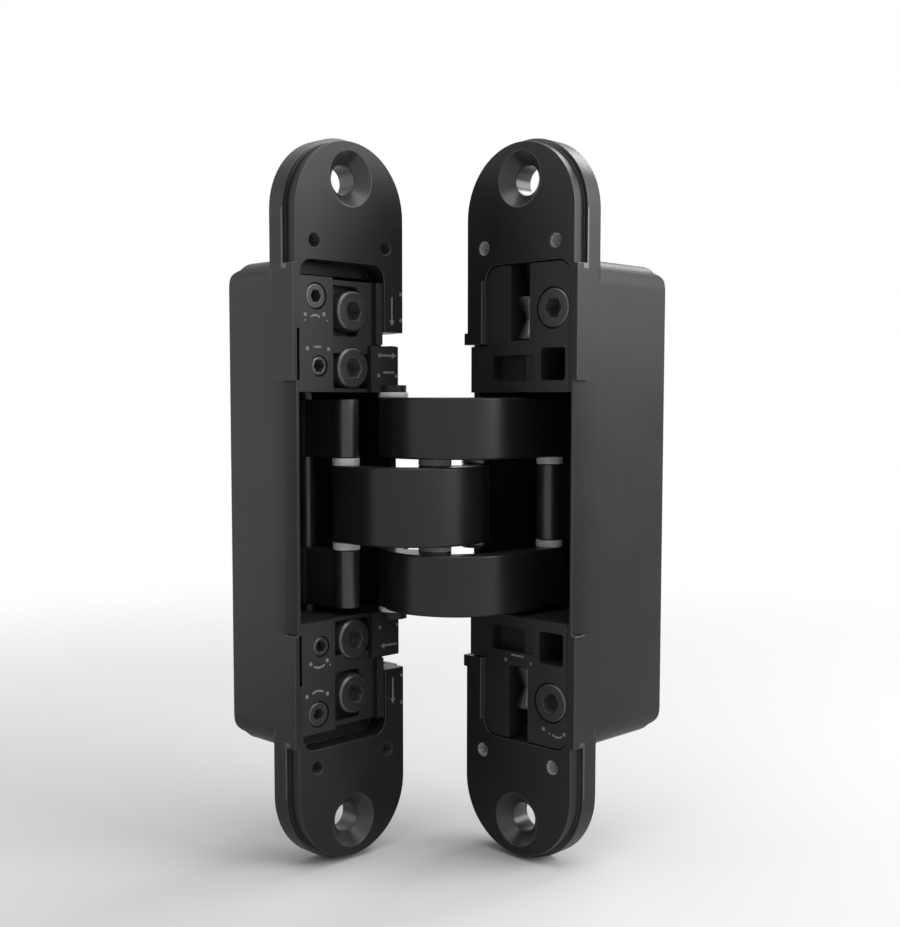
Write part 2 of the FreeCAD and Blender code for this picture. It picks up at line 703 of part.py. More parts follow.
def frame_screws():
    """Clamp screws and small adjusting screws of the frame half."""
    for word, side in (("upper", 1), ("lower", -1)):
        for place, up in (("near", clamp_near), ("far", clamp_far)):
            socket_screw(f"frame_{word}_{place}_clamp_screw", clamp_side, side * up, clamp_head,
                         clamp_shank, clamp_top, clamp_seat,
                         frame_depth - back_wall + thread_bite, clamp_socket)
        socket_screw(f"frame_{word}_side_adjuster", -side_screw_side, side * side_screw_up,
                     side_screw_head, None, frame_face, frame_face + small_length,
                     None, small_socket)
        socket_screw(f"frame_{word}_depth_adjuster", -depth_screw_side, side * depth_screw_up,
                     depth_screw_head, None, frame_face, frame_face + small_length,
                     None, small_socket)


def height_cam(name, side):
    """Turned height cam with a waist, upright in its slot."""
    made = Piece(name, True)
    middle = (slot_left + slot_right) / 2
    low, high = between(side, spool_low, spool_high)
    drawing = made.outline("YZ_Plane", middle, [
        line_to(spool_deep + spool_end, low),
        line_to(spool_deep + spool_end, low + spool_rim),
        line_to(spool_deep + spool_waist, (low + high) / 2 - spool_rim / 2),
        line_to(spool_deep + spool_waist, (low + high) / 2 + spool_rim / 2),
        line_to(spool_deep + spool_end, high - spool_rim),
        line_to(spool_deep + spool_end, high),
        line_to(spool_deep, high),
        line_to(spool_deep, low),
    ])
    made.revolve(drawing)
    return made


def door_screws():
    """Flush clamp screws and height cams of the door half."""
    for word, side in (("upper", -1), ("lower", 1)):
        socket_screw(f"door_{word}_clamp_screw", -flush_side, side * flush_up, flush_head,
                     clamp_shank, door_face, clamp_seat,
                     door_depth - back_wall + thread_bite, clamp_socket, True)
        height_cam(f"door_{word}_height_cam", side)


class ArmFrame:
    """Places on an arm: across and inwards from the centre pin."""

    def __init__(self, mirrored):
        self.mirrored = mirrored

    def at(self, across, deep):
        """Model coordinates of a place on the arm."""
        across, deep = as_size(across), as_size(deep)
        if self.mirrored:
            return centre_pin_x + deep, centre_pin_y + across
        return centre_pin_x + across, centre_pin_y + deep

    def line(self, across, deep):
        """Corner of the arm's outline after a straight edge."""
        return line_to(*self.at(across, deep))

    def arc(self, across, deep, radius, left):
        """Corner of the arm's outline after an arc."""
        return arc_to(*self.at(across, deep), radius, left != self.mirrored)


def arm(name, mirrored, low, high, slide_deep, free_pin):
    """Cast arm: an arched band from the fixed eye to the sliding eye, with a web."""
    made = Piece(name)
    place = ArmFrame(mirrored)
    slide_across = -(centre_pin_x - slide_u)
    fixed_across, fixed_deep = crank_reach, -crank_side
    across, deep = fixed_across - arc_across, fixed_deep - arc_deep
    reach = root(across * across + deep * deep)
    outer_end = (arc_across + across / reach * arc_outer, arc_deep + deep / reach * arc_outer)
    inner_end = (arc_across + across / reach * arc_inner, arc_deep + deep / reach * arc_inner)
    steps = [
        place.line(*outer_end),
        place.arc(arc_across, arc_deep - arc_outer, arc_outer, False),
        place.arc(arc_across - arc_outer, arc_deep, arc_outer, False),
        place.line(arc_across - arc_outer, slide_deep),
        place.line(arc_across - arc_inner, slide_deep),
        place.line(arc_across - arc_inner, arc_deep),
        place.arc(arc_across, arc_deep - arc_inner, arc_inner, True),
        place.arc(*inner_end, arc_inner, True),
    ]
    made.pad_up(steps, low, high, "band")
    made.rod_up(*place.at(fixed_across, fixed_deep), fixed_eye, low, high)
    made.rod_up(*place.at(slide_across, slide_deep), sliding_eye, low, high)
    made.rod_up(*place.at(0, 0), centre_eye, low, high)
    top = arc_deep - (arc_inner + arc_outer) / 2
    shoulder = top + (arc_outer - arc_inner) / 2 + centre_eye / 2
    web = [
        place.line(centre_eye, 0),
        place.line(web_half, shoulder),
        place.line(web_half, top),
        place.line(-web_half, top),
        place.line(-web_half, shoulder),
        place.line(-centre_eye, 0),
    ]
    made.pad_up(web, low, high, "web")
    fixed_hole = (stub_radius if mirrored else pin_radius) + pin_play
    made.bore_up(*place.at(fixed_across, fixed_deep), fixed_hole, low, high)
    made.bore_up(*place.at(0, 0), pin_radius + (pin_play if free_pin else 0), low, high)
    made.bore_up(*place.at(slide_across, slide_deep), pin_radius, low, high)

    def wanted(edge):
        curve = edge.Curve
        return isinstance(curve, Part.Circle) and abs(curve.Radius - arc_outer.value) < SLACK
    made.soften("Fillet", arm_round, wanted, "rounded_edges")
    return made


def arms():
    """Middle arm on the door pivot and two fork arms on the frame pivots."""
    arm("middle_arm", False, -middle_half, middle_half, frame_slide_w - centre_pin_y, True)
    deep = door_slide_w + (half_offset - centre_pin_x)
    arm("upper_fork_arm", True, fork_low, fork_high, deep, False)
    arm("lower_fork_arm", True, -fork_high, -fork_low, deep, False)


def link(name, deep, slide, low, high, in_door=False):
    """Link between a housing's deep pin and an arm's sliding pin."""
    made = Piece(name, in_door)
    across, along = crank_side, slide - deep
    reach = root(across * across + along * along)
    side_u, side_w = along / reach * link_waist, -across / reach * link_waist
    steps = [
        line_to(frame_link_u + side_u, deep + side_w),
        line_to(slide_u + side_u, slide + side_w),
        line_to(slide_u - side_u, slide - side_w),
        line_to(frame_link_u - side_u, deep - side_w),
    ]
    made.pad_up(steps, low, high, "bar")
    made.rod_up(frame_link_u, deep, link_eye, low, high)
    made.rod_up(slide_u, slide, link_eye, low, high)
    made.bore_up(frame_link_u, deep, pin_radius + pin_play, low, high)
    made.bore_up(slide_u, slide, pin_radius + open_play, low, high)
    return made


def links():
    """Two links in the frame half and one in the door half."""
    link("frame_upper_link", frame_link_deep, frame_slide_w, fork_low, link_high)
    link("frame_lower_link", frame_link_deep, frame_slide_w, -link_high, -fork_low)
    link("door_link", door_link_deep, door_slide_w, -middle_half, middle_half, True)


def pin(name, across, along, radius, low, high, in_door=False):
    """Plain round pin."""
    made = Piece(name, in_door)
    made.rod_up(across, along, radius, low, high)
    return made


def pins():
    """Pivot pins, from the centre outwards."""
    link_pin_end = carrier_low + link_pin_bite
    pin("centre_pin", centre_pin_x, centre_pin_y, pin_radius, -fork_high, fork_high)
    for word, side in (("upper", 1), ("lower", -1)):
        low, high = between(side, fork_low, carrier_low + stub_bite)
        pin(f"frame_{word}_pivot_pin", pivot_u, 0, stub_radius, low, high)
    pin("door_pivot_pin", pivot_u, 0, pin_radius, -cheek_high, cheek_high, True)
    pin("frame_link_pin", frame_link_u, frame_link_deep, pin_radius,
        -link_pin_end, link_pin_end)
    pin("door_link_pin", frame_link_u, door_link_deep, pin_radius,
        -link_pin_end, link_pin_end, True)
    pin("middle_arm_end_pin", slide_u, frame_slide_w, pin_radius, -link_high, link_high)
    pin("fork_end_pin", slide_u, door_slide_w, pin_radius, -fork_high, fork_high, True)


def washer(name, across, along, outer, hole, low, high, in_door=False):
    """Flat washer round a pin."""
    made = Piece(name, in_door)
    made.rod_up(across, along, outer, low, high)
    made.bore_up(across, along, hole, low, high)
    return made


def washers():
    """Washers between the arms and under the carriers."""
    for word, side in (("upper", 1), ("lower", -1)):
        low, high = between(side, middle_half + washer_play, fork_low)
        hole = pin_radius + pin_play
        washer(f"centre_{word}_washer", centre_pin_x, centre_pin_y, centre_eye, hole, low, high)
        low, high = between(-side, middle_half + washer_play, fork_low)
        washer(f"fork_end_{word}_washer", slide_u, door_slide_w, sliding_eye, hole, low, high, True)
        low, high = between(side, middle_half, fork_low - washer_play)
        washer(f"middle_end_{word}_washer", slide_u, frame_slide_w, sliding_eye, hole, low, high)
        low, high = between(side, fork_high + end_play, carrier_low)
        washer(f"frame_{word}_pivot_washer", pivot_u, 0, fixed_eye, stub_radius + pin_play,
               low, high)


def door_cheeks():
    """Thin cheeks that hold the door pivot pin above and below the middle arm."""
    for word, side in (("upper", -1), ("lower", 1)):
        made = Piece(f"door_{word}_pivot_cheek", True)
        low, high = between(side, cheek_low, cheek_high)
        made.rod_up(pivot_u, 0, fixed_eye, low, high)
        foot_left = inner_half - fixed_eye
        made.pad_up(rectangle(foot_left, inner_half, 0, cheek_deep), low, high, "foot")
        made.bore_up(pivot_u, 0, pin_radius, low, high)


def check_and_write():
    """Stop on any failed object, then write one file for each piece."""
    doc.recompute()
    for thing in doc.Objects:
        if "Invalid" in thing.State or "Error" in thing.State:
            raise RuntimeError(f"{thing.Name} failed: {thing.State}")
    os.makedirs("parts", exist_ok=True)
    for body in pieces:
        shape = body.Shape
        if shape.isNull() or not shape.isValid() or len(shape.Solids) != 1:
            raise RuntimeError(f"{body.Label} is not one valid solid")
        shape.exportStep(f"parts/{body.Label}.step")
        print(f"{body.Label}: {shape.Volume:.1f} mm3")


frame_housing()
frame_carrier("frame_upper_carrier", 1)
frame_carrier("frame_lower_carrier", -1)
frame_screws()
door_housing()
door_carrier("door_upper_carrier", -1)
door_carrier("door_lower_carrier", 1)
door_screws()
door_cheeks()
arms()
links()
pins()
washers()
check_and_write()
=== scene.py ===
"""Looks of a concealed door hinge: black castings, crossed arms and screws with a painted
highlight on their rims.
"""

import json
import logging
import math
from dataclasses import dataclass, field
from enum import Enum, IntEnum
from typing import Iterable

import bmesh
import bpy
from mathutils import Matrix, Vector


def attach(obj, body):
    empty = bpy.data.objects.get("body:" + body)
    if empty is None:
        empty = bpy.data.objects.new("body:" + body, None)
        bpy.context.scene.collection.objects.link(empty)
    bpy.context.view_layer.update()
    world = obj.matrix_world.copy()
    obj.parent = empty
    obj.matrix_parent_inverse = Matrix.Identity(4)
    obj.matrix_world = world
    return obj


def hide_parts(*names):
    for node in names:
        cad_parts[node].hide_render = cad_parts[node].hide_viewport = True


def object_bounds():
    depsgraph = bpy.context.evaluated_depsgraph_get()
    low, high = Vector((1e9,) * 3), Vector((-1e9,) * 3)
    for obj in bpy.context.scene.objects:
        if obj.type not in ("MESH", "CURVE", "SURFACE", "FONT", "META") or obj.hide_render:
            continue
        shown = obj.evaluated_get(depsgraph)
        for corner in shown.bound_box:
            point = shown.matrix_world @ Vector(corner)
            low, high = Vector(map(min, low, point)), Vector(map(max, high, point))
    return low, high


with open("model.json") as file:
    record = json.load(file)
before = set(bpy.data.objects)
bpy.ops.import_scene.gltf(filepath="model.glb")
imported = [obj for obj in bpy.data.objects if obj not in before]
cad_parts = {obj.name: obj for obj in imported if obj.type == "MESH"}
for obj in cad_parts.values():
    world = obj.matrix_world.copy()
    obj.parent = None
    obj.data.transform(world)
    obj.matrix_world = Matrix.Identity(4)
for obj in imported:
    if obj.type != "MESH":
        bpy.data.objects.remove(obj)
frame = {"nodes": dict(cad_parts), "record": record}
cad_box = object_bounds()

# Lengths are in millimetres where a comment or docstring says so, else in metres.
MM = 0.001
# Depth of the ears' seat below the plate's front, and the door half's shift, in millimetres.
SEAT_DEPTH = 7.5
DOOR_OFFSET = 25.2
# Slack in comparisons of places, in millimetres.
SLACK = 0.01
# Grey values between which most of a noise lies.
NOISE_SPAN = (0.3, 0.7)
# Directions as the camera sees them.
AHEAD = Vector((math.sqrt(0.5), math.sqrt(0.5), 0.0))
RIGHT = Vector((math.sqrt(0.5), -math.sqrt(0.5), 0.0))
UP = Vector((0.0, 0.0, 1.0))
# Material slots of the record that the script treats by name.
HOUSING = "housing_casting"
CARRIER = "carrier_casting"
LOG = logging.getLogger("hinge")


class Half(Enum):
    """The two mortised halves, each with its own axes on its front face."""

    FRAME = "frame"
    DOOR = "door"

    @property
    def body(self) -> str:
        """Name of the body that the half's pieces ride on."""
        return f"{self.value}_half"

    def place(self, across: float, up: float, deep: float) -> Vector:
        """Finds a point that is given in the half's own axes.

        Args:
            across: Distance from the plate's centre line towards the arms, in millimetres.
            up: Height above mid height, in millimetres.
            deep: Depth below the plate's front face, in millimetres.

        Returns:
            The point in the model, in metres.
        """
        if self is Half.FRAME:
            return Vector((across, deep - SEAT_DEPTH, up)) * MM
        return Vector((DOOR_OFFSET + deep, across - DOOR_OFFSET - SEAT_DEPTH, up)) * MM

    def read(self, point: Vector) -> Vector:
        """Gives a point of the model in the half's own axes.

        Args:
            point: The point in the model, in metres.

        Returns:
            Its place across, up and deep, in millimetres.
        """
        across, up, deep = point.x / MM, point.z / MM, point.y / MM
        if self is Half.DOOR:
            return Vector((deep + DOOR_OFFSET + SEAT_DEPTH, up, across - DOOR_OFFSET))
        return Vector((across, up, deep + SEAT_DEPTH))

    @property
    def inwards(self) -> Vector:
        """Direction into the half's housing."""
        return Vector((0.0, 1.0, 0.0)) if self is Half.FRAME else Vector((1.0, 0.0, 0.0))


class Mark(Enum):
    """Plain marks beside the screws that show which way each one moves the door."""

    SQUARE = "square"
    BAR = "bar"
    ARROW = "arrow"
    TURN = "turn"


class Part(IntEnum):
    """Parts of a piece's surface, as the numbers of its materials."""

    FACE = 0
    EDGE = 1
    INNER = 2


@dataclass(frozen=True)
class CoatFinish:
    """Satin black coat on a casting, with a fine grain and slight unevenness.

    Attributes:
        name: Name of the material.
        shade: Linear grey of the coat.
        roughness: Middle roughness.
        grain: Size of the coat's grain, in metres.
        gloss: Strength of the plain reflection.
        bump: Height of the grain, in metres.
        relief: Strength of the grain's shading.
        cloud: Size of the uneven patches, in grains.
        tones: Darkest and brightest patch, as shares of the shade.
        spread: Smoothest and roughest patch, from the middle roughness.
    """

    name: str
    shade: float
    roughness: float
    grain: float = 0.0006
    gloss: float = 0.28
    bump: float = 0.00001
    relief: float = 0.5
    cloud: float = 30.0
    tones: tuple[float, float] = (0.85, 1.2)
    spread: tuple[float, float] = (-0.04, 0.05)

    def material(self) -> bpy.types.Material:
        """Builds the coat's nodes.

        Returns:
            The finished material.
        """
        made = bpy.data.materials.new(self.name)
        made.use_nodes = True
        tree = made.node_tree
        shader = tree.nodes["Principled BSDF"]
        place = tree.nodes.new("ShaderNodeTexCoord")
        cloud = noise(tree, place, 1.0 / (self.grain * self.cloud), detail=3.0)
        vary(tree, cloud, shader, self)
        grain = noise(tree, place, 1.0 / self.grain, detail=2.0)
        bump = tree.nodes.new("ShaderNodeBump")
        bump.inputs["Distance"].default_value = self.bump
        bump.inputs["Strength"].default_value = self.relief
        tree.links.new(grain, bump.inputs["Height"])
        tree.links.new(bump.outputs["Normal"], shader.inputs["Normal"])
        shader.inputs["Specular IOR Level"].default_value = self.gloss
        return made


@dataclass(frozen=True)
class SteelFinish:
    """Turned or ground steel with fine rings of tool marks.

    Attributes:
        name: Name of the material.
        shade: Linear grey of the metal.
        roughness: Middle roughness.
        metallic: How far the surface is bare metal.
        ring: Spacing of the tool marks, in metres.
        stretch: Scale of the marks across and along the piece's height.
        tones: Darkest and brightest mark, as shares of the shade.
        spread: Smoothest and roughest mark, from the middle roughness.
    """

    name: str
    shade: float
    roughness: float
    metallic: float = 1.0
    ring: float = 0.0004
    stretch: tuple[float, float, float] = (0.15, 0.15, 1.0)
    tones: tuple[float, float] = (0.85, 1.15)
    spread: tuple[float, float] = (-0.06, 0.08)

    def material(self) -> bpy.types.Material:
        """Builds the steel's nodes.

        Returns:
            The finished material.
        """
        made = bpy.data.materials.new(self.name)
        made.use_nodes = True
        tree = made.node_tree
        shader = tree.nodes["Principled BSDF"]
        place = tree.nodes.new("ShaderNodeTexCoord")
        stretch = tree.nodes.new("ShaderNodeMapping")
        stretch.inputs["Scale"].default_value = self.stretch
        tree.links.new(place.outputs["Object"], stretch.inputs["Vector"])
        streak = noise(tree, stretch, 1.0 / self.ring, detail=4.0)
        vary(tree, streak, shader, self)
        shader.inputs["Metallic"].default_value = self.metallic
        return made


@dataclass(frozen=True)
class PlasticFinish:
    """Low-friction plastic of the washers, slightly cloudy.

    Attributes:
        name: Name of the material.
        shade: Linear grey of the plastic.
        roughness: Middle roughness.
        cloud: Size of the cloudy patches, as a scale per metre.
        tones: Darkest and brightest patch, as shares of the shade.
        spread: Smoothest and roughest patch, from the middle roughness.
        depth: Share of the light that enters the plastic.
        reach: How far that light spreads, in metres.
    """

    name: str
    shade: float
    roughness: float
    cloud: float = 900.0
    tones: tuple[float, float] = (0.9, 1.1)
    spread: tuple[float, float] = (-0.08, 0.08)
    depth: float = 0.05
    reach: float = 0.001

    def material(self) -> bpy.types.Material:
        """Builds the plastic's nodes.

        Returns:
            The finished material.
        """
        made = bpy.data.materials.new(self.name)
        made.use_nodes = True
        tree = made.node_tree
        shader = tree.nodes["Principled BSDF"]
        place = tree.nodes.new("ShaderNodeTexCoord")
        cloud = noise(tree, place, self.cloud, detail=3.0)
        vary(tree, cloud, shader, self)
        shader.inputs["Subsurface Weight"].default_value = self.depth
        shader.inputs["Subsurface Scale"].default_value = self.reach
        return made


@dataclass(frozen=True)
class PaperFinish:
    """Matt pale paper of the floor, which fades out away from the hinge.

    Attributes:
        name: Name of the material.
        middle: Point from which the distance counts.
        shade: Linear grey of the paper.
        roughness: Its roughness.
        gloss: Strength of the plain reflection.
        near: Distance at which the paper starts to fade, in metres.
        far: Distance at which it has gone.
    """

    name: str
    middle: tuple[float, float, float]
    shade: float = 0.65
    roughness: float = 0.75
    gloss: float = 0.2
    near: float = 0.08
    far: float = 0.45

    def material(self) -> bpy.types.Material:
        """Builds the paper's nodes.

        Returns:
            The finished material.
        """
        made = bpy.data.materials.new(self.name)
        made.use_nodes = True
        tree = made.node_tree
        shader = tree.nodes["Principled BSDF"]
        shader.inputs["Base Color"].default_value = (self.shade, self.shade, self.shade, 1.0)
        shader.inputs["Roughness"].default_value = self.roughness
        shader.inputs["Specular IOR Level"].default_value = self.gloss
        place = tree.nodes.new("ShaderNodeTexCoord")
        distance = tree.nodes.new("ShaderNodeVectorMath")
        distance.operation = "DISTANCE"
        distance.inputs[1].default_value = self.middle
        tree.links.new(place.outputs["Object"], distance.inputs[0])
        fade = tree.nodes.new("ShaderNodeMapRange")
        fade.inputs["From Min"].default_value = self.near
        fade.inputs["From Max"].default_value = self.far
        fade.inputs["To Min"].default_value = 0.0
        fade.inputs["To Max"].default_value = 1.0
        fade.interpolation_type = "SMOOTHSTEP"
        tree.links.new(distance.outputs["Value"], fade.inputs["Value"])
        clear = tree.nodes.new("ShaderNodeBsdfTransparent")
        mix = tree.nodes.new("ShaderNodeMixShader")
        tree.links.new(fade.outputs["Result"], mix.inputs["Fac"])
        tree.links.new(shader.outputs["BSDF"], mix.inputs[1])
        tree.links.new(clear.outputs["BSDF"], mix.inputs[2])
        tree.links.new(mix.outputs["Shader"], tree.nodes["Material Output"].inputs["Surface"])
        return made


Finish = CoatFinish | SteelFinish | PlasticFinish


def vary(tree: bpy.types.NodeTree, source: bpy.types.NodeSocket, shader: bpy.types.Node,
         finish: Finish) -> None:
    """Lets a finish's shade and roughness follow one pattern.

    Args:
        tree: Node tree of the material.
        source: The pattern's grey value.
        shader: Shader of the material.
        finish: Finish that says how far both vary.
    """
    dark, bright = (finish.shade * tone for tone in finish.tones)
    shade = ramp(tree, source, dark, min(bright, 1.0))
    tree.links.new(shade, shader.inputs["Base Color"])
    smooth, rough = (finish.roughness + step for step in finish.spread)
    tree.links.new(ramp(tree, source, smooth, rough), shader.inputs["Roughness"])


def noise(tree: bpy.types.NodeTree, place: bpy.types.Node, scale: float,
          detail: float) -> bpy.types.NodeSocket:
    """Adds a noise texture on the piece's own coordinates.

    Args:
        tree: Node tree of the material.
        place: Texture Coordinate or Mapping node that gives the place.
        scale: Scale of the noise, per metre.
        detail: Octaves of the noise.

    Returns:
        The noise's grey output.
    """
    made = tree.nodes.new("ShaderNodeTexNoise")
    made.inputs["Scale"].default_value = scale
    made.inputs["Detail"].default_value = detail
    source = place.outputs.get("Object") or place.outputs["Vector"]
    tree.links.new(source, made.inputs["Vector"])
    return made.outputs["Fac"]


def ramp(tree: bpy.types.NodeTree, source: bpy.types.NodeSocket, low: float,
         high: float) -> bpy.types.NodeSocket:
    """Maps a grey value between two limits.

    Args:
        tree: Node tree of the material.
        source: Grey value between 0 and 1.
        low: Result where the source is dark.
        high: Result where the source is bright.

    Returns:
        The mapped value's socket.
    """
    made = tree.nodes.new("ShaderNodeMapRange")
    made.inputs["From Min"].default_value, made.inputs["From Max"].default_value = NOISE_SPAN
    made.inputs["To Min"].default_value = low
    made.inputs["To Max"].default_value = high
    tree.links.new(source, made.inputs["Value"])
    return made.outputs["Result"]


# Each edge finish below is a little brighter than its coat: partly wear, partly a painted
# highlight along the edges.
HOUSING_COAT = CoatFinish("housing_coat", shade=0.014, roughness=0.36, gloss=0.17)
# Brighter finish of the housing's rounded edges (partly wear, partly a painted highlight) and of
# its ledges and countersinks (a painted highlight).
HOUSING_WEAR_AND_HIGHLIGHT = CoatFinish("housing_edge", shade=0.028, roughness=0.30, gloss=0.50)
CARRIER_COAT = CoatFinish("carrier_coat", shade=0.018, roughness=0.40, gloss=0.20)
CARRIER_EDGE = CoatFinish("carrier_edge", shade=0.024, roughness=0.32)
ARM_COAT = CoatFinish("arm_coat", shade=0.012, roughness=0.35, gloss=0.32)
ARM_EDGE = CoatFinish("arm_edge", shade=0.020, roughness=0.24)
LINK_STEEL = CoatFinish("link_blacking", shade=0.018, roughness=0.34, grain=0.0003,
                        gloss=0.65)
LINK_EDGE = CoatFinish("link_edge", shade=0.024, roughness=0.24, grain=0.0003)
PIN_STEEL = SteelFinish("pin_steel", shade=0.10, roughness=0.32)
SCREW_STEEL = SteelFinish("screw_steel", shade=0.016, roughness=0.36, metallic=0.3)
# Brighter steel for the screws' slanted rims: a painted highlight.
RIM_HIGHLIGHT_STEEL = SteelFinish("rim_steel", shade=0.10, roughness=0.32, metallic=0.9)
SOCKET_STEEL = SteelFinish("socket_steel", shade=0.30, roughness=0.38, metallic=0.9)
# One bare zinc for the clip holes' walls in two copies: a brighter lit one for the door half
# (painted light) and a darker shaded one for the frame half (painted shade).
LIT_BARE_ZINC = SteelFinish("bare_zinc", shade=0.9, roughness=0.3, metallic=0.6)
SHADED_BARE_ZINC = SteelFinish("dull_zinc", shade=0.30, roughness=0.40, metallic=0.9)
WASHER_PLASTIC = PlasticFinish("washer_plastic", shade=0.66, roughness=0.5)
MARK_PAINT = PlasticFinish("mark_paint", shade=0.16, roughness=0.6)


class Wardrobe:
    """Keeps one material for each finish, so that pieces share it."""

    def __init__(self) -> None:
        """Starts with no material made."""
        self.made: dict[str, bpy.types.Material] = {}

    def of(self, finish: Finish) -> bpy.types.Material:
        """Gives the material of a finish, made at its first use.

        Args:
            finish: The finish that is wanted.

        Returns:
            The shared material.
        """
        if finish.name not in self.made:
            self.made[finish.name] = finish.material()
        return self.made[finish.name]


WARDROBE = Wardrobe()


def lies_in(value: float, span: tuple[float, float]) -> bool:
    """Tells whether a value lies between two limits."""
    return span[0] < value < span[1]


def keep(name: str, bm: bmesh.types.BMesh, finishes: Iterable[Finish]) -> bpy.types.Object:
    """Turns a bmesh into a piece at the origin with its materials.

    Args:
        name: Name of the piece.
        bm: The finished bmesh, which is freed.
        finishes: Finishes in the order of the faces' material numbers.

    Returns:
        The new object, linked to the scene.
    """
    mesh = bpy.data.meshes.new(name)
    bm.to_mesh(mesh)
    bm.free()
    mesh.polygons.foreach_set("use_smooth", [True] * len(mesh.polygons))
    for finish in finishes:
        mesh.materials.append(WARDROBE.of(finish))
    piece = bpy.data.objects.new(name, mesh)
    bpy.context.scene.collection.objects.link(piece)
    return piece


@dataclass(frozen=True)
class Dress:
    """Finishes of one kind of piece.

    Attributes:
        face: Finish of its faces.
        edge: Finish of its rounded edges, a little brighter: partly wear, partly a painted
            highlight.
        rim: Whether slanted rims of the piece take the edge's finish too, as a painted
            highlight.
        radius: Width of the edge rounding, in metres.
        inner: Finish of its sockets or small holes, where that differs.
    """

    face: Finish
    edge: Finish
    rim: bool = False
    radius: float = 0.18 * MM
    inner: Finish | None = None


DRESS_OF_SLOT = {
    HOUSING: Dress(HOUSING_COAT, HOUSING_WEAR_AND_HIGHLIGHT, inner=LIT_BARE_ZINC),
    CARRIER: Dress(CARRIER_COAT, CARRIER_EDGE),
    "arm_casting": Dress(ARM_COAT, ARM_EDGE),
    "link_steel": Dress(LINK_STEEL, LINK_EDGE),
    "pin_steel": Dress(PIN_STEEL, PIN_STEEL),
    "screw_steel": Dress(SCREW_STEEL, RIM_HIGHLIGHT_STEEL, rim=True, radius=0.08 * MM,
                         inner=SOCKET_STEEL),
    "washer": Dress(WASHER_PLASTIC, WASHER_PLASTIC, radius=0.1 * MM),
}

# Pieces that differ from the rest of their slot.
DRESS_OF_NODE = {"frame_link_pin": Dress(LINK_STEEL, LINK_STEEL)}


@dataclass
class DressedNode:
    """A carried-over piece whose merged copy gets rounded edges.

    Attributes:
        node: Name of the piece.
        body: Body that it rides on.
        slot: Material slot of the record.
        sharp: Angle above which an edge is rounded, in degrees.
        flat: Angle below which two faces count as one, in degrees.
        merge: Distance at which the solid's loose corners are joined, in metres.
        rounds: Segments of an edge rounding.
        wall_limit: Cosine below which a face is a wall of a screw's head or socket.
        rim_span: Cosines between which a face is a screw's slanted rim.
    """

    node: str
    body: str
    slot: str
    sharp: float = 35.0
    flat: float = 0.5
    merge: float = 1e-6
    rounds: int = 2
    wall_limit: float = 0.3
    rim_span: tuple[float, float] = (0.6, 0.8)

    def build(self) -> bpy.types.Object:
        """Copies, merges and rounds the piece.

        Returns:
            The piece that stands for the node.
        """
        dress = DRESS_OF_NODE.get(self.node, DRESS_OF_SLOT[self.slot])
        bm = bmesh.new()
        bm.from_mesh(frame["nodes"][self.node].data)
        bmesh.ops.remove_doubles(bm, verts=bm.verts, dist=self.merge)
        bmesh.ops.dissolve_limit(bm, angle_limit=math.radians(self.flat), verts=bm.verts,
                                 edges=bm.edges, use_dissolve_boundaries=False)
        if dress.rim:
            self.paint_rim_highlights(bm)
        limit = math.radians(self.sharp)
        hard = [e for e in bm.edges if len(e.link_faces) == 2 and e.calc_face_angle(0.0) > limit]
        rounded = bmesh.ops.bevel(bm, geom=hard, offset=dress.radius, offset_type="OFFSET",
                                  segments=self.rounds, profile=0.5, affect="EDGES",
                                  clamp_overlap=True, material=-1)
        for face in rounded["faces"]:
            face.material_index = Part.EDGE
        self.shape(bm)
        finishes = [dress.face, dress.edge, self.inner_finish(dress)]
        piece = keep(f"{self.node}_dressed", bm, finishes)
        weigh = piece.modifiers.new("weigh", "WEIGHTED_NORMAL")
        weigh.weight = 100
        weigh.keep_sharp = False
        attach(piece, self.body)
        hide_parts(self.node)
        LOG.info("%s: %d faces", piece.name, len(piece.data.polygons))
        return piece

    def paint_rim_highlights(self, bm: bmesh.types.BMesh) -> None:
        """Gives the socket and the slanted rim of a screw's head their own finishes; the rim's
        brighter steel is a painted highlight.

        Args:
            bm: The piece's mesh before its edges are rounded.
        """
        for face in bm.faces:
            slant = abs(face.normal @ self.half.inwards)
            if slant < self.wall_limit:
                face.material_index = Part.INNER
            elif lies_in(slant, self.rim_span):
                face.material_index = Part.EDGE

    def inner_finish(self, dress: Dress) -> Finish:
        """Gives the finish of sockets and small holes.

        Args:
            dress: Finishes of this kind of piece.

        Returns:
            The finish of the third material.
        """
        return dress.inner or dress.face

    @property
    def half(self) -> Half:
        """The half that the piece rides on."""
        return Half.FRAME if self.body == Half.FRAME.body else Half.DOOR

    def shape(self, bm: bmesh.types.BMesh) -> None:
        """Changes the rounded piece further. A plain piece stays as it is.

        Args:
            bm: The piece's mesh after its edges are rounded.
        """


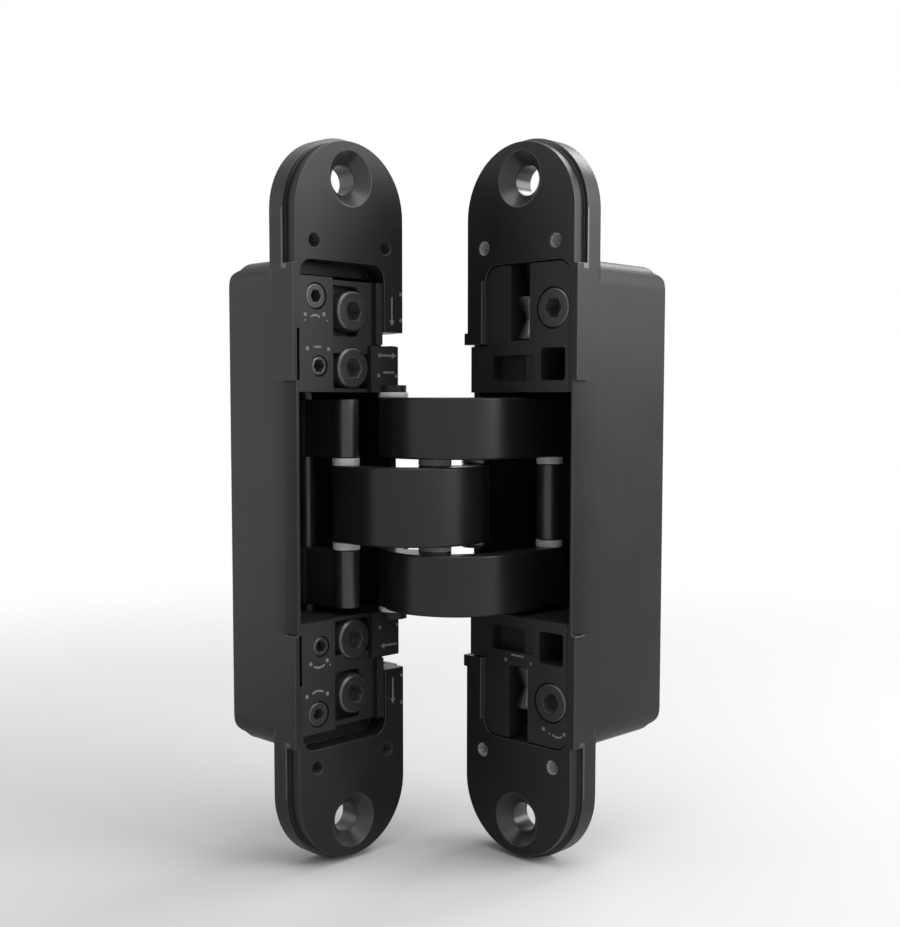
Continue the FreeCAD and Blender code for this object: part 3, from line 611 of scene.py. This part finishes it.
@dataclass
class DressedHousing(DressedNode):
    """Housing with soft outer ends, a flush side at mid height and bare clip holes, whose
    brighter or darker copy per half is painted light.

    Its sizes are in millimetres, in the half's own axes.

    Attributes:
        side: Half width of the housing.
        end: Half height of the box behind the plate.
        tall: Half height of the box as it looks in the photograph.
        corner: Rounding of the box's outer ends.
        turns: Angles at which the rounding is cut, in degrees.
        skin: Depth of the outer skin, which the box's rounded edges stay within.
        inset: Half width of the plate's face between the shoulders.
        shoulder: Height at which the shoulders start.
        flush: Depth at which the side has its full width again.
        levels: Depths at which the side is cut on its way there.
        lip: Depth of the rounded edge round the plate's face.
        guard: Height of the thin strip that keeps a wall straight beside a cut.
        touch: Distance at which a corner counts as on a cut.
        merge_cuts: Distance at which the cuts' corners are joined.
        clip: Clip hole's place across and up.
        clip_radius: Radius within which a face belongs to a clip hole.
        clip_span: Depths between which the clip hole's wall lies.
        ledge: Depths between which the ledge round the ears lies, which takes a painted
            highlight.
        screw: Fixing screw's distance from mid height.
        sink_radius: Radius within which a face belongs to its countersink, which takes a painted
            highlight.
        sink_span: Depths between which the countersink lies.
        coated: Least depth of a face that takes the plain coat on the outer side.
    """

    side: float = 16.0
    end: float = 50.7
    tall: float = 52.0
    corner: float = 4.0
    turns: tuple[float, ...] = (0, 9, 18, 27, 36)
    skin: float = 1.0
    inset: float = 15.05
    shoulder: float = 26.4
    flush: float = 6.5
    levels: tuple[float, ...] = (1.0, 2.0, 3.6, 5.0)
    lip: float = 0.2
    guard: float = 0.02
    touch: float = 1e-4
    merge_cuts: float = 0.003
    clip: tuple[float, float] = (10.05, 55.6)
    clip_radius: float = 1.6
    clip_span: tuple[float, float] = (0.3, 3.9)
    ledge: tuple[float, float] = (2.9, 3.15)
    screw: float = 69.3
    sink_radius: float = 5.8
    sink_span: tuple[float, float] = (0.2, 7.3)
    coated: float = 0.4

    def inner_finish(self, dress: Dress) -> Finish:
        """Gives the finish of the clip holes: painted shade in the frame half, which takes a
        darker copy of the same bare zinc.

        Args:
            dress: Finishes of the housings.

        Returns:
            The finish of the holes' walls.
        """
        # The frame half's holes take the darker copy as painted shade.
        return SHADED_BARE_ZINC if self.half is Half.FRAME else dress.inner

    def shape(self, bm: bmesh.types.BMesh) -> None:
        """Rounds the ends and eases the side, in the half's own axes.

        Args:
            bm: The housing's mesh after its edges are rounded.
        """
        for vert in bm.verts:
            vert.co = self.half.read(vert.co)
        self.cut_walls(bm)
        self.move_walls(bm)
        bmesh.ops.remove_doubles(bm, verts=bm.verts, dist=self.merge_cuts)
        for face in bm.faces:
            part = self.part_at(face.calc_center_median())
            if part is not None:
                face.material_index = part
        for vert in bm.verts:
            vert.co = self.half.place(*vert.co)
        bm.normal_update()

    def cut_walls(self, bm: bmesh.types.BMesh) -> None:
        """Cuts the outer walls where their form changes.

        Args:
            bm: The mesh in the half's own axes, in millimetres.
        """
        steps = [self.corner * math.tan(math.radians(angle)) for angle in self.turns]
        levels = (*self.levels, self.flush, SEAT_DEPTH, SEAT_DEPTH + self.guard)
        planes = [(2, level) for level in levels]
        for sign in (-1.0, 1.0):
            planes += [(1, sign * (self.end - self.corner + step)) for step in steps]
            planes += [(0, sign * (self.side - self.corner + step)) for step in steps]
            planes += [(1, sign * self.shoulder), (1, sign * (self.shoulder + 2 * self.guard))]
        for axis, level in planes:
            walls = [face for face in bm.faces if self.is_wall(face, axis)]
            spot, normal = Vector(), Vector()
            spot[axis], normal[axis] = level, 1.0
            edges = {edge for face in walls for edge in face.edges}
            verts = {vert for face in walls for vert in face.verts}
            bmesh.ops.bisect_plane(bm, geom=[*walls, *edges, *verts], dist=self.touch,
                                   plane_co=spot, plane_no=normal)

    def is_wall(self, face: bmesh.types.BMFace, axis: int) -> bool:
        """Tells whether a face belongs to the box's outer walls.

        Args:
            face: The face, in the half's own axes.
            axis: Axis of the cut that is planned.

        Returns:
            Whether the cut may pass through the face.
        """
        beside = self.inset - SLACK
        beyond, behind = self.end - self.corner - 10 * SLACK, SEAT_DEPTH - SLACK
        on_side = all(abs(vert.co.x) > beside for vert in face.verts)
        on_end = all(abs(vert.co.y) > beyond and vert.co.z > behind for vert in face.verts)
        return on_end or (on_side and axis != 0)

    def move_walls(self, bm: bmesh.types.BMesh) -> None:
        """Moves the points of the outer skin, and leaves the inner walls as they are.

        Args:
            bm: The mesh in the half's own axes, after its walls are cut.
        """
        back = max(vert.co.z for vert in bm.verts)
        for vert in bm.verts:
            across, up, deep = abs(vert.co.x), abs(vert.co.y), vert.co.z
            on_skin = (across > self.side - self.skin or up > self.end - self.skin
                       or deep > back - self.skin)
            if on_skin and deep > SEAT_DEPTH + SLACK:
                self.round_end(vert)
            if up < self.shoulder + SLACK and deep < self.flush + SLACK:
                self.ease_side(vert)

    def round_end(self, vert: bmesh.types.BMVert) -> None:
        """Pulls a point of the box's square end onto a quarter circle.

        Args:
            vert: The point, behind the ears.
        """
        beyond = Vector((abs(vert.co.x) - self.side + self.corner,
                         abs(vert.co.y) - self.end + self.corner))
        if beyond.y > 0.0:
            if beyond.x > 0.0:
                beyond *= max(beyond) / beyond.length
                vert.co.x = math.copysign(self.side - self.corner + beyond.x, vert.co.x)
            rise = (self.tall - self.end) * beyond.y / self.corner
            vert.co.y = math.copysign(self.end - self.corner + beyond.y + rise, vert.co.y)

    def ease_side(self, vert: bmesh.types.BMVert) -> None:
        """Lets the outer side start flush with the plate's narrower face.

        Args:
            vert: A point between the shoulders, near the front.
        """
        share = min(max((vert.co.z - self.lip) / (self.flush - self.lip), 0.0), 1.0)
        share *= 2.0 - share
        if vert.co.x < SLACK - self.inset:
            vert.co.x = -self.inset - (self.side - self.inset) * share

    def part_at(self, middle: Vector) -> Part | None:
        """Finds the part of the surface that a face belongs to.

        Args:
            middle: Middle of the face, in the half's own axes.

        Returns:
            The part, or nothing where the face keeps its number.
        """
        from_clip = math.hypot(abs(middle.x) - self.clip[0], abs(middle.y) - self.clip[1])
        from_screw = math.hypot(middle.x, abs(middle.y) - self.screw)
        hole_start, hole_floor = self.clip_span
        in_sink = from_screw < self.sink_radius and lies_in(middle.z, self.sink_span)
        if from_clip < self.clip_radius and middle.z > hole_start:
            return Part.INNER if middle.z < hole_floor else Part.FACE
        # The ears' ledge and the countersinks take the brighter edge finish as a painted
        # highlight.
        if abs(middle.y) > self.end and (in_sink or lies_in(middle.z, self.ledge)):
            return Part.EDGE
        on_side = abs(middle.y) < self.shoulder and middle.x < 5 * SLACK - self.inset
        if middle.z > SEAT_DEPTH or (on_side and middle.z > self.coated):
            return Part.FACE
        return None


@dataclass(frozen=True)
class PlainMark:
    """One small mark on a casting's face.

    Attributes:
        kind: Its shape.
        across: Place from the plate's centre line, in millimetres.
        up: Place from mid height, in millimetres.
        length: Length, in millimetres.
        turn: Direction that it points in, in degrees from upwards.
        head: Length of an arrow's head, in strokes.
        tip: Radius of the head's triangle, as a share of its length.
        bow: Bow of a curved mark, as a share of its length.
    """

    kind: Mark
    across: float
    up: float
    length: float = 0.74
    turn: float = 0.0
    head: float = 2.8
    tip: float = 0.7
    bow: float = 0.14

    def draw(self, bm: bmesh.types.BMesh, stroke: float) -> None:
        """Draws the mark flat, in millimetres.

        Args:
            bm: Mesh that the mark is added to.
            stroke: Width of its lines.
        """
        spot = Matrix.Translation((self.across, self.up, 0.0))
        spot = spot @ Matrix.Rotation(math.radians(self.turn), 4, "Z")
        if self.kind is Mark.SQUARE:
            self.strip(bm, spot, self.length, self.length)
        elif self.kind is Mark.BAR:
            self.strip(bm, spot, stroke, self.length)
        elif self.kind is Mark.ARROW:
            head = stroke * self.head
            self.strip(bm, spot @ Matrix.Translation((0.0, -head / 2, 0.0)), stroke,
                       self.length - head)
            tip = spot @ Matrix.Translation((0.0, self.length / 2 - head * self.tip, 0.0))
            bmesh.ops.create_circle(bm, cap_ends=True, segments=3, radius=head * self.tip,
                                    matrix=tip)
        else:
            made = bmesh.ops.create_grid(bm, x_segments=1, y_segments=8, size=0.5)
            for vert in made["verts"]:
                bow = self.length * self.bow * (1.0 - 4.0 * vert.co.y ** 2)
                vert.co = spot @ Vector((vert.co.x * stroke + bow, vert.co.y * self.length, 0.0))

    def strip(self, bm: bmesh.types.BMesh, spot: Matrix, width: float, length: float) -> None:
        """Adds one straight stroke.

        Args:
            bm: Mesh that the stroke is added to.
            spot: Its middle and direction.
            width: Its width.
            length: Its length.
        """
        size = Matrix.Diagonal((width, length, 1.0, 1.0))
        bmesh.ops.create_grid(bm, x_segments=1, y_segments=1, size=0.5, matrix=spot @ size)


@dataclass
class MarkSheet:
    """The marks on one level face of a half, as one thin piece.

    Attributes:
        name: Name of the piece.
        half: Half that carries the marks.
        deep: Depth of the face below the plate's front, in millimetres.
        slot: Material slot of the record; not used.
        marks: The marks.
        stroke: Width of their lines, in millimetres.
        raised: How far the paint stands proud, in millimetres.
    """

    name: str
    half: Half
    deep: float
    slot: str
    marks: list[PlainMark]
    stroke: float = 0.42
    raised: float = 0.02

    def build(self) -> bpy.types.Object:
        """Draws the marks and gives them the paint's thickness.

        Returns:
            The piece of all the marks.
        """
        bm = bmesh.new()
        for mark in self.marks:
            mark.draw(bm, self.stroke)
        grown = bmesh.ops.extrude_face_region(bm, geom=list(bm.faces))
        lifted = [item for item in grown["geom"] if isinstance(item, bmesh.types.BMVert)]
        bmesh.ops.translate(bm, verts=lifted, vec=(0.0, 0.0, 2 * self.raised))
        for vert in bm.verts:
            deep = self.deep + self.raised - vert.co.z
            vert.co = self.half.place(vert.co.x, vert.co.y, deep)
        bmesh.ops.recalc_face_normals(bm, faces=bm.faces)
        piece = keep(self.name, bm, [MARK_PAINT])
        for face in piece.data.polygons:
            face.use_smooth = False
        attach(piece, self.half.body)
        LOG.info("%s: %d marks", self.name, len(self.marks))
        return piece


@dataclass
class SubAssembly:
    """Pieces that move together.

    Attributes:
        body: Body of the record that they ride on.
        pieces: The pieces, once they are built.
    """

    body: str
    pieces: list[bpy.types.Object] = field(default_factory=list)

    def build(self) -> None:
        """Dresses each piece of the body by its material slot."""
        record = frame["record"]
        slots = {row["node"]: row["material_slot"] for row in record["subparts"]}
        for node in record["behaviour"]["bodies"][self.body]:
            kind = DressedHousing if slots[node] == HOUSING else DressedNode
            self.pieces.append(kind(node, self.body, slots[node]).build())

    def dress(self) -> None:
        """Reports the pieces. A half paints its marks first."""
        LOG.info("%s: %d pieces", self.body, len(self.pieces))


@dataclass
class FrameHalf(SubAssembly):
    """Half in the door frame, with marks beside its adjusting screws.

    Attributes:
        rim_level: Depth of the plate's rim below its front, in millimetres.
        column_level: Depth of the carriers' outer column.
        block_level: Depth of the carriers' block on the arms' side.
    """

    body: str = Half.FRAME.body
    rim_level: float = 0.0
    column_level: float = 0.4
    block_level: float = 0.5

    def dress(self) -> None:
        """Paints the marks of the rim, the columns and the blocks."""
        rim = [
            PlainMark(Mark.ARROW, 11.8, 42.0, 6.3, 180.0),
            PlainMark(Mark.SQUARE, 14.5, 45.9),
            PlainMark(Mark.SQUARE, 14.5, 40.2),
            PlainMark(Mark.ARROW, 11.8, -42.4, 6.0, 180.0),
            PlainMark(Mark.SQUARE, 14.5, -39.3),
            PlainMark(Mark.SQUARE, 14.5, -45.5),
        ]
        block = [
            PlainMark(Mark.ARROW, 11.0, 32.4, 5.0, 270.0),
            PlainMark(Mark.SQUARE, 8.6, 32.4, 0.8),
            PlainMark(Mark.SQUARE, 8.3, 28.0),
            PlainMark(Mark.BAR, 11.3, 28.7, 3.2, 90.0),
            PlainMark(Mark.SQUARE, 13.6, 28.0),
            PlainMark(Mark.SQUARE, 8.4, -27.7),
            PlainMark(Mark.SQUARE, 13.6, -27.7),
            PlainMark(Mark.ARROW, 11.0, -32.0, 5.0, 90.0),
        ]
        column = [
            PlainMark(Mark.SQUARE, -12.3, 40.3),
            PlainMark(Mark.SQUARE, -7.3, 40.5),
            PlainMark(Mark.TURN, -9.6, 39.9, 2.4, 90.0),
            PlainMark(Mark.SQUARE, -12.3, 39.1, 0.35),
            PlainMark(Mark.SQUARE, -6.4, 39.2, 0.35),
            PlainMark(Mark.SQUARE, -11.8, 33.3),
            PlainMark(Mark.SQUARE, -6.1, 33.3),
            PlainMark(Mark.BAR, -9.0, 33.7, 1.8, 90.0),
            PlainMark(Mark.TURN, -9.2, -33.7, 3.0, 270.0),
            PlainMark(Mark.SQUARE, -11.5, -33.1),
            PlainMark(Mark.SQUARE, -7.0, -32.9),
            PlainMark(Mark.SQUARE, -6.2, -33.9, 0.35),
            PlainMark(Mark.TURN, -9.6, -39.5, 3.0, 90.0),
            PlainMark(Mark.SQUARE, -12.6, -39.9),
            PlainMark(Mark.SQUARE, -7.0, -40.1),
        ]
        sheets = [
            MarkSheet("frame_rim_marks", Half.FRAME, self.rim_level, HOUSING, rim),
            MarkSheet("frame_block_marks", Half.FRAME, self.block_level, CARRIER, block),
            MarkSheet("frame_column_marks", Half.FRAME, self.column_level, CARRIER, column),
        ]
        self.pieces += [sheet.build() for sheet in sheets]
        super().dress()


@dataclass
class DoorHalf(SubAssembly):
    """Half in the door leaf, with marks on its lower carrier.

    Attributes:
        face_level: Depth of the carriers' face below the plate's front, in millimetres.
    """

    body: str = Half.DOOR.body
    face_level: float = 0.3

    def dress(self) -> None:
        """Paints the marks of the lower carrier."""
        marks = [
            PlainMark(Mark.SQUARE, 3.5, -34.2),
            PlainMark(Mark.BAR, 0.1, -32.9, 3.6, 90.0),
            PlainMark(Mark.SQUARE, -3.7, -34.1, 0.5),
            PlainMark(Mark.SQUARE, -7.4, -47.7, 0.8),
            PlainMark(Mark.SQUARE, -9.0, -48.4, 0.4),
            PlainMark(Mark.TURN, -11.2, -48.5, 2.6, 270.0),
            PlainMark(Mark.SQUARE, -13.1, -47.9, 0.7),
        ]
        sheet = MarkSheet("door_carrier_marks", Half.DOOR, self.face_level, CARRIER, marks)
        self.pieces.append(sheet.build())
        super().dress()


@dataclass(frozen=True)
class SoftBox:
    """One soft lamp that faces the hinge's middle, placed as the camera sees it.

    Attributes:
        name: Name of the lamp.
        ahead: Place beyond the hinge, in metres.
        right: Place to its right.
        up: Place above it.
        size: Width and height of the lamp, in metres.
        watts: Its power.
    """

    name: str
    ahead: float
    right: float
    up: float
    size: tuple[float, float]
    watts: float

    def hang(self, middle: Vector) -> None:
        """Adds the lamp to the scene.

        Args:
            middle: Middle of the hinge.
        """
        lamp = bpy.data.lights.new(self.name, "AREA")
        lamp.shape = "RECTANGLE"
        lamp.size, lamp.size_y = self.size
        lamp.energy = self.watts
        made = bpy.data.objects.new(self.name, lamp)
        made.location = middle + AHEAD * self.ahead + RIGHT * self.right + UP * self.up
        made.rotation_mode = "QUATERNION"
        made.rotation_quaternion = (middle - made.location).to_track_quat("-Z", "Y")
        bpy.context.scene.collection.objects.link(made)


SOFT_BOXES = (
    SoftBox("top_box", -0.2, 0.0, 0.8, (0.7, 0.7), 3.3),
    SoftBox("right_box", -0.12, 0.54, 0.24, (0.55, 0.40), 3.9),
    SoftBox("left_box", 0.0, -0.7, 0.0, (0.5, 0.8), 1.2),
    SoftBox("back_box", 0.34, 0.34, 0.48, (0.28, 0.18), 1.6),
)


@dataclass
class Studio:
    """Plain pale floor, soft lights and the photograph's camera.

    Attributes:
        eye: Place of the camera, in metres.
        pitch: Angle of the camera below the level, in degrees.
        lens: Focal length, in millimetres.
        sensor: Width of the sensor, in millimetres.
        shift: Camera shift, in widths of the picture.
        reach: Radius of the floor, in metres.
        glow: Strength of the world's light on the object.
        floor: Height of the floor.
        middle: Middle of the hinge.
    """

    eye: tuple[float, float, float] = (-0.1782, -0.2109, 0.02195)
    pitch: float = 4.26
    lens: float = 50.22
    sensor: float = 36.0
    shift: tuple[float, float] = (0.0167, 0.0369)
    reach: float = 1.6
    glow: float = 0.33
    floor: float = cad_box[0].z
    middle: Vector = field(default_factory=lambda: (cad_box[0] + cad_box[1]) / 2)

    def build(self) -> None:
        """Makes the floor, the lights, the world and the camera."""
        self.make_floor()
        for box in SOFT_BOXES:
            box.hang(self.middle)
        self.make_world()
        self.make_camera()
        bpy.context.scene.view_settings.view_transform = "Standard"

    def make_floor(self) -> None:
        """Round pale floor that fades out before the horizon."""
        centre = (self.middle.x, self.middle.y, self.floor)
        bm = bmesh.new()
        bmesh.ops.create_circle(bm, cap_ends=True, cap_tris=False, segments=96,
                                radius=self.reach)
        bmesh.ops.translate(bm, verts=bm.verts, vec=centre)
        mesh = bpy.data.meshes.new("floor")
        bm.to_mesh(mesh)
        bm.free()
        mesh.materials.append(PaperFinish("floor_paper", centre).material())
        floor = bpy.data.objects.new("floor", mesh)
        bpy.context.scene.collection.objects.link(floor)

    def make_world(self) -> None:
        """Pale world: plain light on the object, white behind it."""
        world = bpy.data.worlds.new("world")
        world.use_nodes = True
        tree = world.node_tree
        light = tree.nodes["Background"]
        light.inputs["Color"].default_value = (1.0, 1.0, 1.0, 1.0)
        light.inputs["Strength"].default_value = self.glow
        white = tree.nodes.new("ShaderNodeBackground")
        white.inputs["Color"].default_value = (1.0, 1.0, 1.0, 1.0)
        white.inputs["Strength"].default_value = 1.0
        path = tree.nodes.new("ShaderNodeLightPath")
        seen = path.outputs["Is Camera Ray"]
        for kind in ("Is Glossy Ray", "Is Transmission Ray"):
            either = tree.nodes.new("ShaderNodeMath")
            either.operation = "MAXIMUM"
            tree.links.new(seen, either.inputs[0])
            tree.links.new(path.outputs[kind], either.inputs[1])
            seen = either.outputs["Value"]
        mix = tree.nodes.new("ShaderNodeMixShader")
        tree.links.new(seen, mix.inputs["Fac"])
        tree.links.new(light.outputs["Background"], mix.inputs[1])
        tree.links.new(white.outputs["Background"], mix.inputs[2])
        tree.links.new(mix.outputs["Shader"], tree.nodes["World Output"].inputs["Surface"])
        bpy.context.scene.world = world

    def make_camera(self) -> None:
        """Camera at the photograph's place and angle."""
        camera = bpy.data.cameras.new("camera")
        camera.sensor_fit = "HORIZONTAL"
        camera.sensor_width = self.sensor
        camera.lens = self.lens
        camera.shift_x, camera.shift_y = self.shift
        camera.clip_start, camera.clip_end = 0.01, 20.0
        made = bpy.data.objects.new("camera", camera)
        made.location = self.eye
        tilt = math.radians(self.pitch)
        look = AHEAD * math.cos(tilt) - UP * math.sin(tilt)
        made.rotation_mode = "QUATERNION"
        made.rotation_quaternion = look.to_track_quat("-Z", "Y")
        bpy.context.scene.collection.objects.link(made)
        bpy.context.scene.camera = made


def main() -> None:
    """Builds the dressed hinge and its studio in order."""
    logging.basicConfig(level=logging.INFO, format="%(message)s")
    assemblies = [
        FrameHalf(),
        DoorHalf(),
        SubAssembly("fork_arms"),
        SubAssembly("middle_arm"),
        SubAssembly("frame_links"),
        SubAssembly("door_link"),
    ]
    for assembly in assemblies:
        assembly.build()
        assembly.dress()
    Studio().build()


if __name__ == "__main__":
    main()
